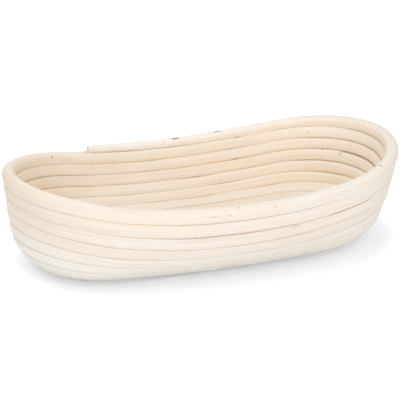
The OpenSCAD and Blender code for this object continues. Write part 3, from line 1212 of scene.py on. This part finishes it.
def peeled_rattan(name, looks, seed, warmth, inset, marks):
    """Peeled rattan: pale and close, with streaks, fibres, pores, a few dark marks and sawn ends, and with
    painted shade at the seams, inside, on the outside and at the left end, and painted light low on the
    outside.
    """
    material, bench, shader = new_material(name)
    own = bench.kept("cane_co", "Vector")
    is_cut = bench.kept("cane_cut")
    free_top = bench.kept("free_top")
    peeled = bench.kept("peeled")
    warmer = bench.kept("warmer")
    _, up, out = bench.parts(own)
    outer = bench.ramp(out, *OUTSIDE)
    streaks = {
        kind: placed(bench, cane_fibres, cane=own, fibre_width=wide, fibre_length=long, seed=seed + step)
        for kind, (wide, long, step) in STREAKS.items()
    }
    mottle = placed(bench, cane_mottle, cane=own, seed=seed)
    pores = placed(bench, cane_pores, cane=own, cover=PORE_COVER, seed=seed)["Pore"]
    flecks = placed(bench, cane_pores, cane=own, seed=seed + FLECK_SEED, **FLECKS)["Pore"]
    seams = placed(
        bench,
        cane_seams,
        cane=own,
        radius=bench.kept("cane_radius"),
        outer_share=bench.kept("outer_seam"),
        free_top=free_top,
        dark_above=bench.kept("seam_above"),
        dark_below=bench.kept("seam_below"),
        seed=seed,
    )
    cut = placed(bench, cane_cut, cane=own)
    scars = bench.ramp(abs(out + inset), *SCAR_ACROSS, 1.0, 0.0) * (up > 0.0)
    scars = scars * bench.ramp(bench.kept("crown_away"), *SCAR_ALONG, 1.0, 0.0)
    # Painted warm shade on the inside of the wall, and painted shade at the left end
    inner = bench.ramp(out, *INSIDE, INSIDE_WARMTH, 0.0) * (1.0 - free_top)
    tone = bench.held(mottle["Tone"] * MOTTLE_WARMTH + (inner + warmth))
    tone = bench.held(warmer * LEFT_WARMTH + tone)
    masks = {kind: streak["Streak"] for kind, streak in streaks.items()}
    masks |= {
        "outside": outer,
        "low outside": bench.kept("lower") * outer,
        "rim": free_top * (1.0 - outer) * (1.0 - warmer),
        "pared run": peeled * mixed(outer, 1.0, PARED_OUTSIDE),
        "nodes": mottle["Node"],
        "pores": pores,
        "flecks": flecks,
        "seams": seams["Seam"],
        "seam lines and gap shadows": seams["Stain"] * mixed(peeled, 1.0, PARED_STAINS),
        "scars": scars,
    }
    skin = bench.blend(tone, rgba(looks.pale), rgba(looks.warm))
    for layer, tint, cover in LAYERS:
        skin = bench.blend(masks[layer] * cover, skin, rgba(getattr(looks, tint)))
    for along, height, side, long, wide, dark in marks:
        spot = (along, height, side)
        mark = placed(bench, cane_mark, cane=own, spot=spot, mark_length=long, mark_width=wide)
        skin = bench.blend(mark["Mark"] * dark, skin, rgba(looks.pore))
    sawn = bench.blend(cut["Tone"], rgba(looks.cut), rgba(looks.warm))
    sawn = bench.blend(cut["Pore"] * SAWN_PORES, sawn, rgba(looks.pore))
    rough = masks["fibres"] * STREAK_ROUGHNESS + looks.roughness + is_cut * SAWN_ROUGHNESS
    grain = streaks["hairs"]["Height"] * HAIR_HEIGHT + streaks["fibres"]["Height"] * FIBRE_HEIGHT
    grain = grain - pores * PORE_DEPTH - cut["Pore"] * is_cut * SAWN_PORE_DEPTH
    bench.give(shader["Base Color"], bench.blend(is_cut, skin, sawn))
    bench.give(shader["Roughness"], rough)
    bench.give(shader["Normal"], bench.bump(grain, CANE_BUMP, CANE_BUMP_REACH))
    bench.give(shader["IOR"], CANE_IOR)
    return material


def drawn_wire(name, staples):
    """Drawn steel wire, dull and a little tarnished."""
    material, bench, shader = new_material(name)
    drawn = bench.noise(bench.kept("wire_co", "Vector") * DRAWN_SCALE)
    patches = bench.add("ShaderNodeTexCoord", None, "Object") * TARNISH_SCALE
    tarnish = bench.ramp(bench.noise(patches, FINE_DETAIL), *TARNISH_RANGE)
    tint = bench.blend(tarnish * TARNISH_COVER, rgba(staples.wire), rgba(staples.rust))
    tint = bench.blend(drawn * DRAWN_COVER, tint, rgba(staples.rust))
    bench.give(shader["Base Color"], tint)
    bench.give(shader["Roughness"], bench.ramp(tarnish, 0.0, 1.0, *WIRE_ROUGHNESS))
    bench.give(shader["Metallic"], bench.ramp(tarnish, 0.0, 1.0, *WIRE_METAL))
    bench.give(shader["Normal"], bench.bump(drawn, WIRE_BUMP, WIRE_BUMP_REACH))
    return material


# Operators

# Seeds of each cane's sway and of its grain, and how much warmer it is than the pale colour
SWAY_SEEDS = {"core": 1, "base": 2, "wall": 3}
GRAIN_SEEDS = {"core": 3.0, "base": 7.0, "wall": 0.0}
WARMTH = {"core": 0.20, "base": 0.14, "wall": -0.06}


def lay_cane(scene, kind, line, marks=()):
    """Sweeps a cane along its middle line, gives it its finish and lets it stand for the model's."""
    looks = scene.basket_looks
    inset = scene.basket_winding.cane_d / 2 * math.sin(scene.basket_staples.rim_tilt)
    finish = peeled_rattan(f"{kind.title()} rattan", looks, GRAIN_SEEDS[kind], WARMTH[kind], inset, marks)
    piece = made_by_nodes(
        f"{kind}_cane_rattan",
        line,
        cane_sweep(),
        sides=looks.sides,
        inner_crown=looks.inner_crown,
        crown_power=looks.crown_power,
        inner_crowding=looks.inner_crowding,
        outer_crowding=looks.outer_crowding,
        unevenness=looks.unevenness,
        crown_inset=inset,
        floor_level=0.0,
        cane_finish=finish,
    )
    stand_for(piece, f"rattan_{kind}", f"{kind}_cane")


class BASKET_OT_core_cane(bpy.types.Operator):
    """Lays the straight core cane that the winding starts from"""

    bl_idname = "basket.core_cane"
    bl_label = "Core cane"

    def execute(self, context):
        scene = context.scene
        looks = scene.basket_looks
        winding = Winding(scene.basket_winding)
        reach = np.array([winding.size.core_l / 2, 0.0, 0.0])
        middle = winding.shift + np.array([0.0, 0.0, winding.base_z])
        radius = winding.filled_r(looks)
        line = straight_line(middle - reach, middle + reach, radius, looks, SWAY_SEEDS["core"])
        lay_cane(scene, "core", line)
        return {"FINISHED"}


class BASKET_OT_base_cane(bpy.types.Operator):
    """Winds the base cane flat round the core"""

    bl_idname = "basket.base_cane"
    bl_label = "Base cane"

    def execute(self, context):
        scene = context.scene
        size = scene.basket_winding
        winding = Winding(size)
        end = size.splice_turn - splice_half(winding)
        line = wound_line(winding, size.start_turn, end, scene.basket_looks, SWAY_SEEDS["base"])
        lay_cane(scene, "base", line)
        return {"FINISHED"}


class BASKET_OT_wall_cane(bpy.types.Operator):
    """Winds the wall cane from the splice up to the rim"""

    bl_idname = "basket.wall_cane"
    bl_label = "Wall cane"

    def execute(self, context):
        scene = context.scene
        size = scene.basket_winding
        looks = scene.basket_looks
        staples = scene.basket_staples
        winding = Winding(size)
        start = size.splice_turn + splice_half(winding)
        crowns = staple_turns(winding, staples, size.turns)
        dents = {staples.shown_first: looks.first_dent, staples.shown_last: looks.last_dent}
        shown = [(crowns[number], depth) for number, depth in dents.items()]
        line = wound_line(winding, start, size.turns, looks, SWAY_SEEDS["wall"], crowns, shown, DARK_SEAMS)
        lay_cane(scene, "wall", line, placed_marks(winding, start, WALL_MARKS))
        return {"FINISHED"}


class BASKET_OT_staples(bpy.types.Operator):
    """Sets the wire staples of every turn, one object for each turn"""

    bl_idname = "basket.staples"
    bl_label = "Staples"

    def execute(self, context):
        scene = context.scene
        size = scene.basket_winding
        staples = scene.basket_staples
        winding = Winding(size)
        radius = winding.filled_r(scene.basket_looks)
        finish = drawn_wire("Staple wire", staples)
        for turn in range(1, size.turns + 1):
            piece = made_by_nodes(
                f"staple_row_{turn}",
                self.places(winding, staples, turn, radius),
                staple_row(),
                crown=staples.crown,
                leg=staples.leg,
                wire_width=staples.wire_w,
                wire_thickness=staples.wire_t,
                shoulder=staples.bend_r,
                crown_height=radius - staples.driven,
                wire_finish=finish,
            )
            stand_for(piece, "staple_wire", f"staples_turn_{turn}")
        return {"FINISHED"}

    def places(self, winding, staples, turn, radius):
        """A mesh of the places of a turn's staples, with the directions up and along each crown."""
        last = winding.size.turns
        t = np.array(staple_turns(winding, staples, turn))
        middles, ups = winding.place(t)
        ahead = winding.place(np.minimum(t + STAPLE_STEP, last))[0]
        alongs = unit(ahead - winding.place(t - STAPLE_STEP)[0])
        inwards = unit(np.cross(ups, alongs))
        ups = np.cross(alongs, inwards)
        drop = radius * (1 - winding.pared(t))
        tilt = staples.rim_tilt if turn == last else 0.0
        mesh = bpy.data.meshes.new("staple_places")
        mesh.from_pydata((middles - ups * drop[:, None]).tolist(), [], [])
        keep(mesh, "crown_up", ups * math.cos(tilt) + inwards * math.sin(tilt))
        keep(mesh, "crown_along", alongs)
        return mesh


def seen_rays(bench):
    """1 for rays that show a surface to the camera, straight or in gloss and glass."""
    path = bench.outputs(bench.node("ShaderNodeLightPath"))
    seen = bench.larger(path["Is Camera Ray"], path["Is Glossy Ray"])
    return bench.larger(seen, path["Is Transmission Ray"])


class BASKET_OT_stage(bpy.types.Operator):
    """Sets the pale floor, the soft light and the camera"""

    bl_idname = "basket.stage"
    bl_label = "Stage"

    def execute(self, context):
        scene = context.scene
        stage = scene.basket_stage
        self.lay_floor(scene, stage)
        self.light(scene, stage)
        self.aim_camera(scene, stage)
        scene.view_settings.view_transform = "Standard"
        return {"FINISHED"}

    def lay_floor(self, scene, stage):
        """A wide sheet of pale paper that shows white and keeps the basket's shadow."""
        half = stage.floor_size / 2
        corners = [(-half, -half), (half, -half), (half, half), (-half, half)]
        mesh = bpy.data.meshes.new("floor")
        mesh.from_pydata([(x, y, -stage.floor_gap) for x, y in corners], [], [(0, 1, 2, 3)])
        floor = bpy.data.objects.new("floor", mesh)
        scene.collection.objects.link(floor)
        material = bpy.data.materials.new("Floor paper")
        bench = cleared(material)
        paper = bench.add("ShaderNodeBsdfDiffuse", {"Color": rgba(stage.floor)})
        spot = bench.add("ShaderNodeTexCoord", None, "Object") * (1.0, stage.glow_narrow, 1.0)
        strength = bench.ramp(
            bench.size(spot), stage.glow_from, stage.glow_to, stage.floor_glow, stage.far_glow
        )
        glow = bench.add("ShaderNodeEmission", {"Strength": strength})
        lit = bench.add("ShaderNodeAddShader", {0: paper, 1: glow})
        shown = bench.add("ShaderNodeMixShader", {0: seen_rays(bench), 1: paper, 2: lit})
        bench.node("ShaderNodeOutputMaterial", {"Surface": shown})
        mesh.materials.append(material)
        floor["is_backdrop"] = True

    def light(self, scene, stage):
        """An even white surround, a broad soft lamp overhead, one in front and a small one near the floor."""
        world = bpy.data.worlds.new("Studio")
        bench = cleared(world)
        strength = mixed(seen_rays(bench), stage.fill, 1.0)
        white = bench.add("ShaderNodeBackground", {"Color": (1.0, 1.0, 1.0, 1.0), "Strength": strength})
        bench.node("ShaderNodeOutputWorld", {"Surface": white})
        scene.world = world
        self.hang_lamp(scene, "Key light", stage.key_power, stage.key_size, stage.key_place)
        self.hang_lamp(scene, "Front light", stage.front_power, stage.front_size, stage.front_place)
        self.hang_lamp(scene, "Low light", stage.low_power, stage.low_size, stage.low_place)

    def hang_lamp(self, scene, name, watts, width, centre):
        """A round soft lamp that faces the basket."""
        disk = bpy.data.lights.new(name, "AREA")
        disk.shape = "DISK"
        disk.size = width
        disk.energy = watts
        lamp = bpy.data.objects.new(name, disk)
        lamp.location = centre
        lamp.rotation_euler = Vector(centre).to_track_quat("Z", "Y").to_euler()
        scene.collection.objects.link(lamp)

    def aim_camera(self, scene, stage):
        """The camera at the photograph's viewing angle."""
        a = stage.camera_azimuth
        e = stage.camera_elevation
        roll = stage.camera_roll
        back = Vector((math.sin(a) * math.cos(e), -math.cos(a) * math.cos(e), math.sin(e)))
        right = Vector((math.cos(a), math.sin(a), 0.0))
        up = back.cross(right)
        x = right * math.cos(roll) + up * math.sin(roll)
        y = up * math.cos(roll) - right * math.sin(roll)
        turn = Matrix((x, y, back)).transposed().to_4x4()
        lens = bpy.data.cameras.new("Camera")
        lens.lens = stage.camera_lens
        lens.sensor_width = stage.camera_frame
        lens.clip_start = stage.camera_near
        camera = bpy.data.objects.new("Camera", lens)
        place = Vector(stage.camera_aim) + back * stage.camera_distance
        camera.matrix_world = Matrix.Translation(place) @ turn
        scene.collection.objects.link(camera)
        scene.camera = camera


class BASKET_PT_panel(bpy.types.Panel):
    """Lists the basket's pieces and the sizes and colours that they are made from"""

    bl_idname = "BASKET_PT_panel"
    bl_label = "Oval Proofing Basket"
    bl_space_type = "VIEW_3D"
    bl_region_type = "UI"
    bl_category = "Basket"

    def draw(self, context):
        layout = self.layout
        for operator in OPERATORS:
            layout.operator(operator.bl_idname)
        for title, pointer, group in SETTINGS:
            box = layout.box()
            box.label(text=title)
            values = getattr(context.scene, pointer)
            for name in group.__annotations__:
                box.prop(values, name)


OPERATORS = (
    BASKET_OT_core_cane,
    BASKET_OT_base_cane,
    BASKET_OT_wall_cane,
    BASKET_OT_staples,
    BASKET_OT_stage,
)
SETTINGS = (
    ("Winding", "basket_winding", WindingSizes),
    ("Cane", "basket_looks", CaneLooks),
    ("Staples", "basket_staples", StapleSizes),
    ("Stage", "basket_stage", StageLooks),
)
CLASSES = tuple(group for _, _, group in SETTINGS) + OPERATORS + (BASKET_PT_panel,)


def register():
    """Adds the classes to Blender, and the settings to its scenes."""
    for made in CLASSES:
        bpy.utils.register_class(made)
    for _, pointer, group in SETTINGS:
        setattr(bpy.types.Scene, pointer, PointerProperty(type=group))


def unregister():
    """Takes the settings and the classes out again."""
    for _, pointer, _ in SETTINGS:
        delattr(bpy.types.Scene, pointer)
    for made in reversed(CLASSES):
        bpy.utils.unregister_class(made)


def main():
    """Builds the stage and the basket, and works out the box of what is shown."""
    register()
    bpy.ops.basket.stage()
    bpy.ops.basket.core_cane()
    bpy.ops.basket.base_cane()
    bpy.ops.basket.wall_cane()
    bpy.ops.basket.staples()
    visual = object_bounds()


if __name__ == "__main__":
    main()
